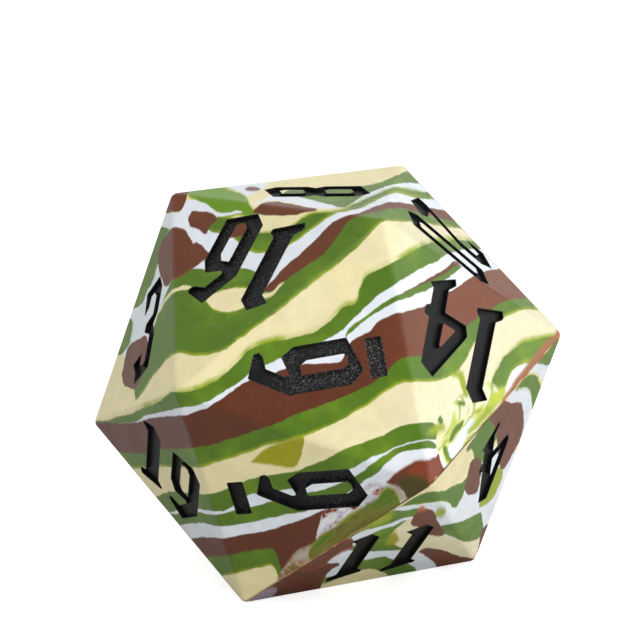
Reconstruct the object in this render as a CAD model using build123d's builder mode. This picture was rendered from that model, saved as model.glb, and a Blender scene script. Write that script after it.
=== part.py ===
"""Giant twenty-sided die, compression moulded in camouflage-marbled silicone rubber.

The rubber is pressed from two charges, one in each cavity of a two-part mould, and they fuse
along a zigzag parting line that follows six edges of the icosahedron. A thin film of rubber
is squeezed into that line. Each face has a sunk numeral whose floor and walls are coated
with black paint. Opposite faces add up to 21.

Frame: millimetres, +Z up. The origin is the centre of the face that the die rests on (13),
and the plane X = 0 is a symmetry plane of the bare icosahedron.
"""
import math
import os

from build123d import *

# Driving dimensions
ACROSS_FLATS = 55.0       # between two opposite faces
EDGE_RADIUS = 1.2         # rounding of the thirty edges and twelve corners
POCKET_DEPTH = 0.75       # how far a numeral is sunk
PAINT_WALL = 0.12         # paint on the pocket's walls
PAINT_FLOOR = 0.15        # paint on the pocket's floor
STROKE_CORNER = 0.18      # rounding of the corners of a numeral's strokes
FILM_THICKNESS = 0.22     # parting film, measured along the pull of the mould
FILM_DEPTH = 2.0          # how deep the film reaches below the faces
FILM_PROUD = 0.05         # how far the film stands out of the rubber
BAR_WIDTH = 5.5           # bar under the 6 and the 9
BAR_HEIGHT = 2.3
BAR_MIDDLE = (0.0, -6.3)

# The regular icosahedron: its twelve corners lie in four level rings of three
GOLDEN = (1 + math.sqrt(5)) / 2
INRADIUS = ACROSS_FLATS / 2
EDGE = INRADIUS * 2 * math.sqrt(3) / GOLDEN**2
FLAT_RING = EDGE / math.sqrt(3)
WIDE_RING = GOLDEN * FLAT_RING
CIRCUMRADIUS = math.hypot(FLAT_RING, INRADIUS)
RING_RISE = math.sqrt(CIRCUMRADIUS**2 - WIDE_RING**2)
CENTRE = Vector(0, 0, INRADIUS)


def ring_corner(radius, degrees, height):
    """A corner of the icosahedron, by its angle round the upright axis."""
    angle = math.radians(degrees)
    return Vector(radius * math.cos(angle), radius * math.sin(angle), height)


CORNERS = {
    "foot_left": ring_corner(FLAT_RING, -150, 0),
    "foot_right": ring_corner(FLAT_RING, -30, 0),
    "foot_back": ring_corner(FLAT_RING, 90, 0),
    "low_front": ring_corner(WIDE_RING, -90, INRADIUS - RING_RISE),
    "low_right": ring_corner(WIDE_RING, 30, INRADIUS - RING_RISE),
    "low_left": ring_corner(WIDE_RING, 150, INRADIUS - RING_RISE),
    "high_back": ring_corner(WIDE_RING, 90, INRADIUS + RING_RISE),
    "high_left": ring_corner(WIDE_RING, -150, INRADIUS + RING_RISE),
    "high_right": ring_corner(WIDE_RING, -30, INRADIUS + RING_RISE),
    "top_right": ring_corner(FLAT_RING, 30, ACROSS_FLATS),
    "top_left": ring_corner(FLAT_RING, 150, ACROSS_FLATS),
    "top_front": ring_corner(FLAT_RING, -90, ACROSS_FLATS),
}

# Each face by its number. The head of the numeral points at the first corner named.
FACES = {
    1: ("low_left", "foot_back", "foot_left"),
    2: ("low_right", "high_right", "top_right"),
    3: ("top_left", "low_left", "high_left"),
    4: ("foot_right", "high_right", "low_front"),
    5: ("low_right", "foot_right", "foot_back"),
    6: ("high_left", "low_front", "top_front"),
    7: ("high_back", "low_left", "foot_back"),
    8: ("top_left", "top_front", "top_right"),
    9: ("low_front", "high_left", "foot_left"),
    10: ("high_back", "top_right", "top_left"),
    11: ("low_front", "foot_left", "foot_right"),
    12: ("high_back", "low_right", "top_right"),
    13: ("foot_right", "foot_left", "foot_back"),
    14: ("low_front", "high_right", "top_front"),
    15: ("low_right", "foot_back", "high_back"),
    16: ("high_left", "top_front", "top_left"),
    17: ("top_left", "high_back", "low_left"),
    18: ("foot_right", "low_right", "high_right"),
    19: ("high_left", "low_left", "foot_left"),
    20: ("high_right", "top_front", "top_right"),
}

# Numerals on their faces: across and up from the face's centre, to the middle of each digit
# and to the line that the digits stand on.
ONE_DIGIT = ((0.0,), -7.3)
TWO_DIGITS = ((-4.0, 3.4), -8.4)
PLACES = {number: ONE_DIGIT if number < 10 else TWO_DIGITS for number in FACES}
PLACES[3] = ((0.2,), -6.9)
PLACES[4] = ((-1.0,), -6.7)
PLACES[6] = ((0.1,), -3.9)
PLACES[9] = ((-0.4,), -4.3)
PLACES[11] = ((-3.9, 4.5), -8.1)
PLACES[20] = ((-4.0, 5.0), -7.5)
BARRED = (6, 9)

# The parting line, corner by corner, and the face that the mould opens towards
PARTING_LINE = ("low_front", "high_right", "top_right", "high_back", "low_left", "foot_left")
PULL_FACE = 16
UPPER_NUMBERS = (3, 6, 8, 9, 10, 14, 16, 17, 19, 20)

# Digits, pointed like strokes of a broad pen. Each is an outline and its counters, about
# 15 mm high, with x from the digit's middle and y from the line that the digits stand on.
SIX_OUTLINE = [
    (-3.2, 10.0), (-0.6, 14.2), (0.0, 15.1), (3.1, 13.8), (3.25, 13.1), (2.7, 12.6), (0.9, 12.5),
    (-0.6, 10.1), (-0.5, 9.5), (2.1, 10.2), (3.2, 8.3), (3.2, 1.1), (-1.4, -0.5), (-3.2, 1.3),
]
SIX_COUNTER = [(-0.8, 7.9), (0.5, 7.9), (1.1, 6.9), (1.1, 1.8), (0.5, 1.4), (-0.3, 1.4), (-0.8, 2.1)]
SIX_TURN_HEIGHT = 15.7    # a nine is a six turned end for end, standing a little higher


def turned(points):
    """The same outline turned half round."""
    return [(-x, SIX_TURN_HEIGHT - y) for x, y in points]


DIGITS = {
    0: (
        [(1.4, 15.3), (3.3, 13.7), (3.3, 1.6), (-1.4, 0.0), (-3.3, 1.6), (-3.3, 13.7)],
        [[(-1.2, 12.6), (0.5, 13.1), (1.2, 12.5), (1.2, 2.8), (-0.5, 2.3), (-1.2, 2.9)]],
    ),
    1: (
        [(-0.3, 15.2), (1.45, 13.7), (1.5, 3.1), (2.4, 2.3), (2.3, 1.7), (-2.35, 0.0), (-2.75, 0.9),
         (-2.5, 1.4), (-1.5, 2.2), (-1.55, 12.4), (-2.9, 13.6)],
        [],
    ),
    2: (
        [(0.9, 15.2), (3.1, 13.3), (3.1, 9.4), (-1.2, 3.3), (2.4, 3.3), (3.9, 2.3), (1.3, 0.0),
         (-3.8, 1.0), (-3.5, 2.6), (0.9, 9.3), (0.9, 12.3), (-0.9, 12.6), (-1.3, 11.4),
         (-3.0, 10.0), (-3.4, 13.3)],
        [],
    ),
    3: (
        [(1.4, 15.4), (3.3, 13.7), (3.3, 9.9), (2.2, 8.3), (3.4, 6.9), (3.4, 1.9), (-1.7, 0.0),
         (-2.4, 1.9), (-3.9, 3.1), (-0.8, 4.5), (-0.5, 2.7), (0.5, 2.5), (1.2, 3.1), (1.2, 6.9),
         (-1.3, 7.5), (-1.1, 8.7), (1.3, 9.9), (1.3, 12.5), (0.3, 13.1), (-0.8, 12.7),
         (-1.1, 11.2), (-2.5, 9.9), (-3.2, 13.4)],
        [],
    ),
    4: (
        [(0.35, 15.0), (2.9, 13.9), (3.2, 7.1), (4.05, 7.0), (4.25, 6.4), (4.1, 5.6), (3.4, 5.3),
         (3.5, 2.8), (4.3, 2.2), (-0.1, -0.3), (-0.5, 0.6), (0.7, 1.8), (0.5, 5.2), (-3.7, 5.2),
         (-4.3, 6.6), (-3.9, 7.5)],
        [[(0.3, 10.7), (0.4, 6.8), (-2.0, 6.8)]],
    ),
    5: (
        [(-2.9, 14.6), (2.3, 15.3), (3.3, 13.2), (2.4, 12.6), (-0.9, 12.4), (-0.8, 9.6), (1.9, 10.3),
         (3.3, 8.4), (3.3, 1.6), (-1.5, 0.0), (-2.5, 1.6), (-3.5, 2.6), (-0.9, 4.0), (-0.6, 2.6),
         (0.5, 2.3), (1.2, 2.9), (1.2, 6.8), (0.4, 7.8), (-2.9, 7.0)],
        [],
    ),
    6: (SIX_OUTLINE, [SIX_COUNTER]),
    7: (
        [(-2.6, 15.2), (3.0, 14.2), (3.4, 12.2), (1.0, 6.6), (0.9, 1.1), (-1.2, 0.0), (-1.8, 0.9),
         (-1.3, 6.9), (0.6, 11.9), (-1.8, 12.2), (-2.7, 10.9), (-3.4, 12.0)],
        [],
    ),
    8: (
        [(1.6, 15.3), (3.3, 13.7), (3.3, 9.2), (2.4, 8.0), (3.5, 6.7), (3.5, 1.6), (-1.6, -0.2),
         (-3.5, 1.6), (-3.5, 6.3), (-2.4, 7.6), (-3.3, 8.8), (-3.3, 13.4)],
        [[(-1.1, 12.4), (0.7, 12.9), (1.2, 12.4), (1.2, 9.7), (-0.5, 9.2), (-1.1, 9.7)],
         [(-1.3, 6.0), (0.8, 6.5), (1.3, 5.9), (1.3, 2.9), (-0.6, 2.3), (-1.3, 2.8)]],
    ),
    9: (turned(SIX_OUTLINE), [turned(SIX_COUNTER)]),
}


def face_plane(number):
    """A plane on the face, with its normal outwards and its y axis up the numeral."""
    head, left, right = (CORNERS[name] for name in FACES[number])
    middle = (head + left + right) / 3
    outwards = (middle - CENTRE).normalized()
    upwards = (head - middle).normalized()
    return Plane(origin=middle, x_dir=upwards.cross(outwards), z_dir=outwards)


def numeral_sketch(number, inset):
    """The digits of a number, and its bar, flat on the XY plane and shrunk by inset."""
    across, baseline = PLACES[number]
    with BuildSketch() as sketch:
        for character, middle in zip(str(number), across):
            outline, counters = DIGITS[int(character)]
            with Locations((middle, baseline)):
                with BuildSketch(mode=Mode.PRIVATE) as digit:
                    with BuildLine():
                        FilletPolyline(*outline, radius=STROKE_CORNER, close=True)
                    make_face()
                    for counter in counters:
                        with BuildLine():
                            FilletPolyline(*counter, radius=STROKE_CORNER, close=True)
                        make_face(mode=Mode.SUBTRACT)
                add(digit.sketch)
        if number in BARRED:
            with Locations(BAR_MIDDLE):
                RectangleRounded(BAR_WIDTH, BAR_HEIGHT, STROKE_CORNER)
        if inset:
            offset(amount=-inset)
    return sketch.sketch


def rounded_icosahedron(proud):
    """The whole die without its numerals, grown outwards by proud."""
    growth = (INRADIUS + proud) / INRADIUS
    with BuildPart() as solid:
        ConvexPolyhedron([CENTRE + (corner - CENTRE) * growth for corner in CORNERS.values()])
        fillet(solid.edges(), EDGE_RADIUS + proud)
    return solid.part


def above_the_parting(shift):
    """All the space on the upper side of the parting line's zigzag cone, moved by shift along
    the pull of the mould. The cone runs from the centre of the die out through the line."""
    pull = face_plane(PULL_FACE).z_dir
    tip = CENTRE + pull * shift
    reach = 3
    line = [tip + (CORNERS[name] - CENTRE) * reach for name in PARTING_LINE]
    far = tip + pull * ACROSS_FLATS * reach
    with BuildPart() as space:
        for here, onward in zip(line, line[1:] + line[:1]):
            ConvexPolyhedron([tip, here, onward, far])
    return space.part


# Shapes that several pieces are cut from
whole_die = rounded_icosahedron(0)
upper_space = above_the_parting(0)

os.makedirs("parts", exist_ok=True)

# Parting film: a ring along the zigzag line, thin across it and FILM_DEPTH deep
with BuildPart() as parting_film:
    add(rounded_icosahedron(FILM_PROUD))
    add(above_the_parting(-FILM_THICKNESS / 2), mode=Mode.INTERSECT)
    add(above_the_parting(FILM_THICKNESS / 2), mode=Mode.SUBTRACT)
    core_share = (INRADIUS - FILM_DEPTH) / INRADIUS
    ConvexPolyhedron(
        [CENTRE + (corner - CENTRE) * core_share for corner in CORNERS.values()],
        mode=Mode.SUBTRACT,
    )
parting_film.part.label = "parting_film"
export_step(parting_film.part, "parts/parting_film.step")

# The two moulded halves, each with the numeral pockets of its own ten faces
for name, side in (("upper_half", Mode.INTERSECT), ("lower_half", Mode.SUBTRACT)):
    with BuildPart() as half:
        add(whole_die)
        add(upper_space, mode=side)
        add(parting_film.part, mode=Mode.SUBTRACT)
        for number in FACES:
            if (number in UPPER_NUMBERS) == (name == "upper_half"):
                with BuildSketch(face_plane(number)):
                    add(numeral_sketch(number, 0))
                extrude(amount=-POCKET_DEPTH, mode=Mode.SUBTRACT)
    half.part.label = name
    export_step(half.part, f"parts/{name}.step")

# Twenty numerals of black paint, each an open tray that lines its pocket
for number in FACES:
    plane = face_plane(number)
    with BuildPart() as numeral:
        with BuildSketch(plane):
            add(numeral_sketch(number, 0))
        extrude(amount=-POCKET_DEPTH)
        with BuildSketch(plane):
            add(numeral_sketch(number, PAINT_WALL))
        extrude(amount=PAINT_FLOOR - POCKET_DEPTH, mode=Mode.SUBTRACT)
    numeral.part.label = f"numeral_{number:02d}"
    export_step(numeral.part, f"parts/numeral_{number:02d}.step")
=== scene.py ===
"""Looks of the giant twenty-sided die: camouflage-marbled silicone rubber with black numerals.

The CAD nodes keep their own meshes, and each gets a procedural material. The marbling is a stack
of folded layers of green, brown, cream and white rubber. It is described on two axes fixed in the
object, "across" and "up" (both in millimetres from the die's centre), as the layers were squeezed
flat between the two halves of the mould and run nearly straight through the die from front to back.
"""

import math

import bpy
from mathutils import Matrix, Vector


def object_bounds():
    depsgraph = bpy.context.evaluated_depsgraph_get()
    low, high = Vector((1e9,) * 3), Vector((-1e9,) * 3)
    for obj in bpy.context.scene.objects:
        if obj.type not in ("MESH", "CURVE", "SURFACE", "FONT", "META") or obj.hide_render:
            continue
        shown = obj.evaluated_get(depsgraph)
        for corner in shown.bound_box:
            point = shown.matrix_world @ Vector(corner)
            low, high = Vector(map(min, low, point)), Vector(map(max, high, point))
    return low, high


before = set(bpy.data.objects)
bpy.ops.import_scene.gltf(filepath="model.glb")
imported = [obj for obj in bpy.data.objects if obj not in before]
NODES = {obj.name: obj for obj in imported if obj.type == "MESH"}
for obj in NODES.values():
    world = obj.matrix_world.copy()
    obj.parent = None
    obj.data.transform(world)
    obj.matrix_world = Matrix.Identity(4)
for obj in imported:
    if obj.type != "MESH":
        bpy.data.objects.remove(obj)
cad_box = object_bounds()

# ---------------------------------------------------------------- viewing angle
MM = 0.001
CENTRE = (Vector(cad_box[0]) + Vector(cad_box[1])) / 2     # of the die, at rest on its face 13
AZIMUTH = -23.87                       # degrees, as the photograph sees the die
ELEVATION = 15.67
ROLL = -1.85
CAMERA_DISTANCE = 421 * MM
SENSOR_WIDTH = 36                      # mm, as is the lens
CAMERA_LENS = 164.9
AIM_UP = 8.47 * MM                     # the die stands a little low in the picture
AIM_RIGHT = -0.71 * MM


def view_axes(azimuth, elevation, roll):
    """Right, up and towards-the-viewer directions of a view, as unit vectors."""
    a, e, r = (math.radians(x) for x in (azimuth, elevation, roll))
    back = Vector((math.sin(a) * math.cos(e), -math.cos(a) * math.cos(e), math.sin(e)))
    level_right = Vector((math.cos(a), math.sin(a), 0))
    level_up = back.cross(level_right)
    right = level_right * math.cos(r) + level_up * math.sin(r)
    up = level_up * math.cos(r) - level_right * math.sin(r)
    return right, up, back


def axes_matrix(right, up, back):
    """The turn that brings X, Y and Z to right, up and back."""
    return Matrix((right, up, back)).transposed().to_4x4()


ACROSS, UP, TOWARDS = view_axes(AZIMUTH, ELEVATION, ROLL)

# ---------------------------------------------------------------- colours


def srgb(red, green, blue):
    """Linear colour from the usual 0 to 255 numbers."""
    parts = [x / 255 for x in (red, green, blue)]
    linear = [x / 12.92 if x <= 0.04045 else ((x + 0.055) / 1.055) ** 2.4 for x in parts]
    return (*linear, 1)


GREEN = srgb(84, 120, 14)
BROWN = srgb(107, 54, 26)
DARK_BROWN = srgb(99, 46, 20)
# Lighter brown and paler cream, laid on towards the right: partly painted sheen and light of the
# right-hand faces
BROWN_WITH_PAINTED_SHEEN = srgb(120, 62, 30)
CREAM_WITH_PAINTED_SHEEN = srgb(238, 229, 192)
CREAM = srgb(242, 230, 178)
WHITE = srgb(234, 240, 246)
LIME = srgb(156, 172, 22)
BRIGHT_LIME = srgb(190, 200, 56)
LEAF = srgb(106, 150, 18)
OLIVE = srgb(160, 158, 8)
DARK_OLIVE = srgb(78, 64, 18)
COPPER = srgb(162, 104, 66)
RUST = srgb(146, 62, 28)
RED_BROWN = srgb(130, 56, 26)
ORANGE = srgb(196, 104, 52)
TAN = srgb(166, 126, 76)
PINK = srgb(196, 128, 112)
LAVENDER = srgb(208, 202, 216)
# Milky white darkened to a dull lilac: painted shade under the die
MILKY_IN_PAINTED_SHADE = srgb(156, 142, 158)
MILKY = srgb(232, 227, 216)
DUSTY = srgb(184, 172, 158)
PALE_LIME = srgb(206, 212, 104)
MOSS = srgb(118, 124, 44)
MUD = srgb(120, 112, 34)
ROSY = srgb(148, 106, 64)
DARK_MOSS = srgb(100, 96, 22)
IVORY = srgb(230, 236, 206)

# The main colours drift towards a second one from place to place
DRIFTS = {GREEN: srgb(112, 148, 20), BROWN: srgb(120, 60, 30), CREAM: srgb(243, 233, 187)}


def half_mixed(slope, fineness, twist, colours):
    """Rubber drawn out into streaks. Slope is the streaks' rise in degrees, fineness how quickly the
    colours change along, across and behind them, per mm, twist how far they curl, and colours are
    (position in the noise, colour)."""
    return {"slope": slope, "fineness": fineness, "twist": twist, "colours": colours}


SWIRLS = half_mixed(55, (0.08, 0.26, 0.1), 1.3, [
    (0.34, CREAM), (0.41, IVORY), (0.46, PALE_LIME), (0.49, LIME), (0.53, IVORY), (0.58, CREAM),
    (0.62, GREEN), (0.66, PALE_LIME)])
SMEAR = half_mixed(34, (0.08, 0.8, 0.15), 0.4, [
    (0.30, GREEN), (0.42, MOSS), (0.50, MUD), (0.56, DARK_MOSS), (0.61, MOSS), (0.68, GREEN)])
MUDDY = half_mixed(34, (0.3, 0.8, 0.2), 0.6, [
    (0.36, ROSY), (0.45, TAN), (0.52, DUSTY), (0.58, ROSY), (0.63, MUD), (0.70, ROSY)])
SPECKLED = half_mixed(40, (0.45, 0.9, 0.3), 0.6, [
    (0.36, MILKY), (0.44, WHITE), (0.51, LAVENDER), (0.57, LAVENDER), (0.61, PINK), (0.64, BROWN)])

# ---------------------------------------------------------------- the layers
# Curves are points (across, up) in millimetres. Layers are laid over each other in this order.
# Soft is how far a colour fades on either side of its edge, in mm, and a rim is (colour, width).
CRISP = 0.12
END_REACH = 0.5                # mm past a pocket's end, where its two edges have crossed
END_CROSSING = 5               # mm that each edge moves towards and past the other there


def layer(colour, top, soft=CRISP, rim=None):
    """A layer of the stack: everything below its top edge."""
    return {"colour": colour, "top": top, "soft": soft, "rim": rim}


def lens(colour, top, bottom, soft=CRISP, rim=None):
    """A closed pocket of colour between two edges that meet at both ends."""

    def closed(edge, rise):
        (first_x, first_y), (last_x, last_y) = edge[0], edge[-1]
        return [(first_x - END_REACH, first_y + rise), *edge, (last_x + END_REACH, last_y + rise)]

    return {"colour": colour, "top": closed(top, -END_CROSSING),
            "bottom": closed(bottom, END_CROSSING), "soft": soft, "rim": rim}


def flank(colour, edge, soft=CRISP, rim=None):
    """Everything left of an edge given as points (up, across)."""
    return {"colour": colour, "top": edge, "soft": soft, "rim": rim, "steep": True}


UPPER_LAYERS = [
    layer(GREEN, [(-6.6, 23.8), (-5.8, 26.3), (-4, 26.9), (-2, 27), (0, 27), (3, 27.1), (5, 27.3),
                  (8, 28.2), (10, 29.2), (12, 30.4), (15, 31.8)]),
    layer(WHITE, [(-11, 23.6), (-8.5, 25.2), (-7.5, 25.9), (-5, 25.8), (-3, 25.3), (-1, 24.7), (1, 24),
                  (2.5, 23.5), (4, 24.5), (6, 26), (8, 27), (10, 27.8), (12, 28.3), (15, 28.8)]),
    layer(CREAM, [(-10, 24), (-8.5, 24.7), (-7.5, 24.9), (-5, 24.5), (-3, 23.9), (-1, 23.4), (1, 23.4),
                  (3.2, 23.6), (4, 23.2), (6, 24.5)]),
    layer(GREEN, [(-20, 20), (-14.5, 22.9), (-12.5, 22), (-10.5, 20.6), (-8, 20.1), (-5.5, 20.1),
                  (-4.5, 20.9), (-3, 22), (-1.5, 22.6), (0, 22.75), (2, 23.1), (3.2, 23.6), (5, 24.6),
                  (7, 25.8), (9, 26.7), (10.5, 27.1), (13, 27.1), (17, 27.6)], rim=(LIME, 0.3)),
    layer(WHITE, [(-25, 23.6), (-20.2, 23.4), (-18, 22.5), (-16.8, 21.2), (-16, 20.6), (-13, 19.7),
                  (-11.5, 18.4), (-10.5, 17.6), (-9, 17.2), (-6.3, 17.5), (-5, 18.1), (-3, 19.4),
                  (-1.5, 20.6), (0, 21.7), (1, 22.3), (3, 22.9), (5, 23.5), (7, 24.7), (9, 25.9),
                  (11, 26.2), (13, 25.9), (16, 26.1)], rim=(LIME, 0.4)),
    layer(BROWN, [(-18, -20), (-12, 11), (-8.5, 12), (-7.5, 13), (-6, 14.6), (-5, 15.6), (-3, 17.3),
                  (-1, 19.3), (0, 20.3), (1, 21.2), (2, 21.9), (3, 22.2), (5, 22.8), (7, 23.8),
                  (9, 24.5), (11, 24.7), (14, 24.6), (17, 24.5)]),
    layer(GREEN, [(-27.5, -3.2), (-27, -1.2), (-26, 1), (-25, 3.4), (-24.2, 6), (-23.6, 8),
                  (-22.8, 10.2), (-22, 12), (-21, 13.8), (-20, 14.3), (-18, 15.3), (-16, 15.1),
                  (-12, 15.3), (-10.5, 15), (-9.3, 14.4), (-8.4, 12.2), (-7.5, 11.8), (-6.8, 12.1),
                  (-6, 12.9), (-4, 14.3), (-2, 15.6), (0, 17.1), (1, 18.4), (2, 19.8), (3, 21.2),
                  (4, 21.9), (5, 22.3), (7, 22.9), (9, 23.4), (11, 23.8), (13, 23.5), (16, 23.1),
                  (20, 22.6)]),
    layer(CREAM, [(-27, -3.6), (-25.5, -2.2), (-24.5, -0.7), (-23.5, 0.5), (-22.5, 1.7), (-21.5, 2.7),
                  (-20.5, 3.3), (-19.5, 3.5), (-18, 3.2), (-16.5, 3.1), (-15, 3.4), (-13.5, 3.9),
                  (-12, 5), (-10, 6.4), (-8, 7.9), (-6, 9.4), (-4, 11), (-2, 12.6), (0, 14.2),
                  (2, 15.7), (4, 17.4), (5, 18.4), (6, 19.4), (7, 20.5), (8, 21.3), (9, 21.45),
                  (11, 21.6), (13, 22), (16, 21.7), (20, 21.7)], rim=(LIME, 0.35)),
    layer(GREEN, [(-31.5, -6), (-29.5, -5.4), (-27, -4.8), (-25, -4), (-23, -3.3), (-21.5, -2.3),
                  (-20.3, -1.7), (-19, -1.8), (-17, -1.4), (-15.5, -0.7), (-14, 0.2), (-12.5, 1.5),
                  (-11, 3), (-10, 4), (-8, 4.8), (-5, 5.4), (-3, 5.8), (-1, 6.5), (0, 7.2),
                  (1.5, 8.6), (2.5, 9.7), (4, 10.1), (4.6, 11.3), (4.8, 12.6), (5.4, 13.6), (7, 14.6),
                  (10, 16.2), (13, 18), (15.5, 19.1), (18, 19.6), (20, 19.8), (24, 19.7)],
          rim=(LIME, 0.6)),
    layer(WHITE, [(-31.5, -6.5), (-29, -6.3), (-26, -5.8), (-25, -5.1), (-23, -4.7), (-20, -4),
                  (-18, -3.7), (-16, -3.1), (-14, -2), (-12, -0.8), (-10.5, 0.4), (-9, 1.4),
                  (-7.5, 2), (-6, 2.8), (-4, 3.4), (-2, 4), (0, 5.2), (2, 6.3), (3, 7.3), (4, 8.3),
                  (5, 9.2), (6, 10.2), (7, 11.2), (8, 11.8), (10, 13.1), (12, 14.4), (14, 15.5),
                  (15.5, 16.2), (17, 17.3), (18.5, 17.9), (20, 18.4), (22, 18.6), (24, 19)]),
    layer(BROWN, [(8, -20), (9, 9.5), (10.5, 11.6), (12, 12.4), (14, 13.7), (15, 14.2), (16, 14.85),
                  (17, 15.55), (18, 16.3), (19.5, 13)]),
    layer(GREEN, [(1.5, -20), (2.6, 4), (3, 6.4), (3.5, 7), (4, 7.5), (5, 8.1), (7, 9.6), (9, 10.9),
                  (11, 11.75), (13, 12.75), (15, 13.65), (17, 14.85), (18, 15.6), (19, 15.6),
                  (20, 13)]),
    layer(WHITE, [(1.5, -20), (2.4, 2), (3, 5.9), (3.6, 6.2), (4, 6.7), (5, 7.6), (7, 8.9), (9, 10.1),
                  (11, 10.9), (13, 11.7), (14, 12.1), (15.5, 13), (17, 14), (18, 14.7), (19, 15.6),
                  (20, 17), (22, 18)]),
    layer(DARK_BROWN, [(-36, -6.3), (-30, -6.3), (-27, -6.1), (-25.5, -5.9), (-24.5, -5.5), (-23, -5.3),
                  (-21, -5), (-19, -4.9), (-18, -4.6), (-16, -3.9), (-14, -2.7), (-12, -1.3),
                  (-10.5, -0.3), (-9, 0.2), (-7, 0.8), (-5, 1.5), (-3.5, 1.9), (0, 2.05), (2, 2.3),
                  (2.8, 3.4), (3.4, 4.9), (4, 5.4), (5, 5.9), (6, 6.4), (7, 7.5), (8, 8.2), (9, 8.7),
                  (10, 8.9), (12, 9.4), (14, 10.1), (16.5, 11.7), (18, 12.5), (20, 13.9), (22, 15),
                  (24, 15.6), (26, 16)]),
    layer(GREEN, [(-30, -10.5), (-28, -10.6), (-25, -10.5), (-23, -9.8), (-20, -9.6), (-17.5, -9.3),
                  (-15, -8.8), (-13, -8.1), (-11, -7.5), (-9, -6.8), (-7, -6.2), (-5, -5.2),
                  (-3, -4.4), (0, -3.4), (3, -2.2), (5, -1.3), (6.5, -0.5), (8, 0.7), (9, 1.6),
                  (10, 2.6), (11, 2.9), (12.5, 3.1), (14, 3.4), (16, 4.3), (18, 5.9), (19.3, 7.2),
                  (21, 8.4), (23, 9.6), (24.5, 10.6), (26, 11.1), (28.5, 11.5), (31, 12)]),
    layer(CREAM, [(-28, -13), (-26, -12.7), (-24, -12.4), (-20, -12.2), (-18, -12.1), (-16, -11.8),
                  (-14, -11.1), (-12, -10.5), (-10, -9.8), (-8, -9), (-6, -8.5), (-4, -8),
                  (-2, -7.4), (0, -6.55), (2, -5.6), (4, -4.5), (6, -3.3), (7.5, -2.2), (9, -1.2),
                  (10, -0.7), (11, -0.4), (13, -0.4), (15, -0.3), (16.5, 0.2), (18, 0.9), (19, 2.2),
                  (20, 4), (21, 5.6), (22.5, 7.3), (24, 8.2), (25, 8.6), (27, 9.4), (28.5, 9.8),
                  (31, 9.8)], rim=(LIME, 0.35)),
    layer(GREEN, [(-25, -17.2), (-24, -16.8), (-23, -16.3), (-21, -15.8), (-18, -15.9), (-16, -15.8),
                  (-14, -15.2), (-12, -14.4), (-9.5, -13.4), (-6, -12.8), (-4, -12.4), (-2, -11.7),
                  (0, -10.8), (2, -9.7), (4, -8.9), (6, -8.2), (8, -7.4), (10, -6.4), (12, -5.9),
                  (14, -5.8), (15, -6.2), (16, -8), (17, -14)]),
    layer(WHITE, [(-23, -19.3), (-20, -18.4), (-18, -18), (-16, -18.2), (-14.5, -18.2), (-13, -17.6),
                  (-12, -17), (-10.5, -15.9), (-9, -15.6), (-7, -15.3), (-5, -15), (-3, -14.6),
                  (0, -13.6), (2, -12.8), (4, -11.8), (6, -10.7), (8, -9.9), (10, -8.95),
                  (12, -8.35), (14, -8.1), (16, -8.3)]),
    layer(GREEN, [(-23, -19.5), (-20, -18.9), (-18, -18.5), (-16, -18.7), (-15, -18.7), (-13, -18.1),
                  (-11, -17.7), (-10, -17.5), (-8, -16.9), (-6, -16.4), (-3, -15.6), (0, -14.9),
                  (2, -14.1), (4, -13.1), (5, -12.4), (6, -11.6), (8, -10.2), (10, -9.1), (12, -8.5),
                  (14, -8.2), (15, -9), (17, -12)]),
    layer(WHITE, [(-22, -21.3), (-20.5, -20.8), (-19, -20.4), (-17, -20.1), (-15, -20.3),
                  (-13, -20.2), (-11, -19.8), (-9, -19.4), (-7, -18.9), (-5, -18.4), (-3, -18.1),
                  (-1, -17.6), (1, -16.8), (3, -15.4), (5, -13.9), (6, -13.2), (7, -12.6),
                  (8, -11.5), (9, -10.6), (10, -9.9), (12, -9.5), (13.5, -9.4), (16, -9.3)]),
    layer(DARK_BROWN, [(-19, -22.7), (-18, -22.4), (-16, -22.1), (-14, -22), (-12, -21.6), (-10, -21.2),
                  (-8, -20.9), (-6, -20.2), (-4, -19.5), (-2, -18.7), (-0.2, -17.9), (0.4, -18.5),
                  (1.5, -30)]),
    layer(GREEN, [(-18, -25.3), (-16, -25), (-14, -24.7), (-13, -24.4), (-11, -23.9), (-9, -23.6),
                  (-7.5, -23.4), (-6.8, -23.9), (-6.4, -25.2), (-5.8, -27), (-4.6, -30)], soft=0.25),
    layer(CREAM, [(-15.5, -28), (-14.5, -27.7), (-13, -27.3), (-11, -26.7), (-9, -26.1),
                  (-7.5, -25.8), (-7, -26.3), (-6.4, -27.5), (-5.4, -30), (-4, -32)], rim=(OLIVE, 0.3)),
    # Folds and lumps above the stack, round the high left corner
    lens(WHITE, [(-15, 27.3), (-12, 28.2), (-8.5, 28.4), (-8, 26)],
         [(-15, 27.5), (-13.5, 27.1), (-12, 26.4), (-11, 25.7), (-10, 26.2), (-9, 27), (-8, 28)],
         soft=0.25),
    lens(LEAF, [(-20, 24.5), (-19.5, 27.6), (-16, 27.6), (-14, 27), (-12, 26.2), (-11.2, 25.6),
                 (-10.6, 24.4), (-10, 23.4), (-9.3, 22)],
         [(-20, 26.8), (-18.8, 25.7), (-18, 25.2), (-17, 24.6), (-16, 24), (-15, 23.2),
          (-14, 22.9), (-12, 23), (-10.5, 22.7), (-9.3, 23)], soft=0.2, rim=(LIME, 0.4)),
    lens(WHITE, [(-20.6, 23.3), (-19.9, 24.6), (-19.3, 25.3), (-18.6, 25.25), (-17, 24.7),
                 (-16, 24.1), (-15, 23.3), (-13.5, 23.2), (-12, 23.45), (-11.3, 23.1)],
         [(-20.6, 23.4), (-19, 22), (-17, 22), (-15.3, 22.6), (-14, 22.75), (-12, 23.1),
          (-11.3, 23.3)], soft=0.15),
    lens(BROWN, [(-36, 30), (-20, 30), (-19.4, 27), (-19, 22)],
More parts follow.
